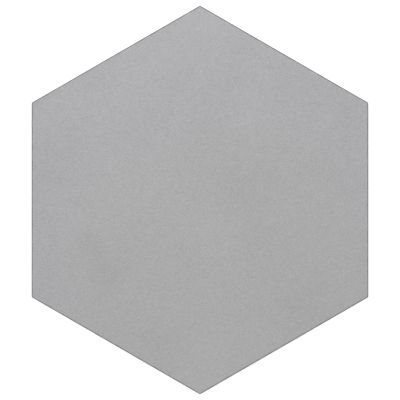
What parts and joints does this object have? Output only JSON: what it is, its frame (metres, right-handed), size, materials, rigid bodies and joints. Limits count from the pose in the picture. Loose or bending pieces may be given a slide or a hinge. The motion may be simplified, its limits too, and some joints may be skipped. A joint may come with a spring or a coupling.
{
  "type": "hexagon floor tile",
  "caption": "Regular hexagon porcelain floor tile: flat matte face with eased edges, upright sides, a leaning foot and a honeycomb key pattern in the back.",
  "frame": {"origin": "centre of the plane that the tile's back rests on", "axes": "+Z out of the face, +X across two flats, +Y across two corners"},
  "size_m": [0.2166, 0.2498, 0.009],
  "materials": {
    "matte_porcelain": "matte"
  },
  "bodies": {
    "root": {"hexagon_tile": "matte_porcelain"}
  },
  "joints": []
}
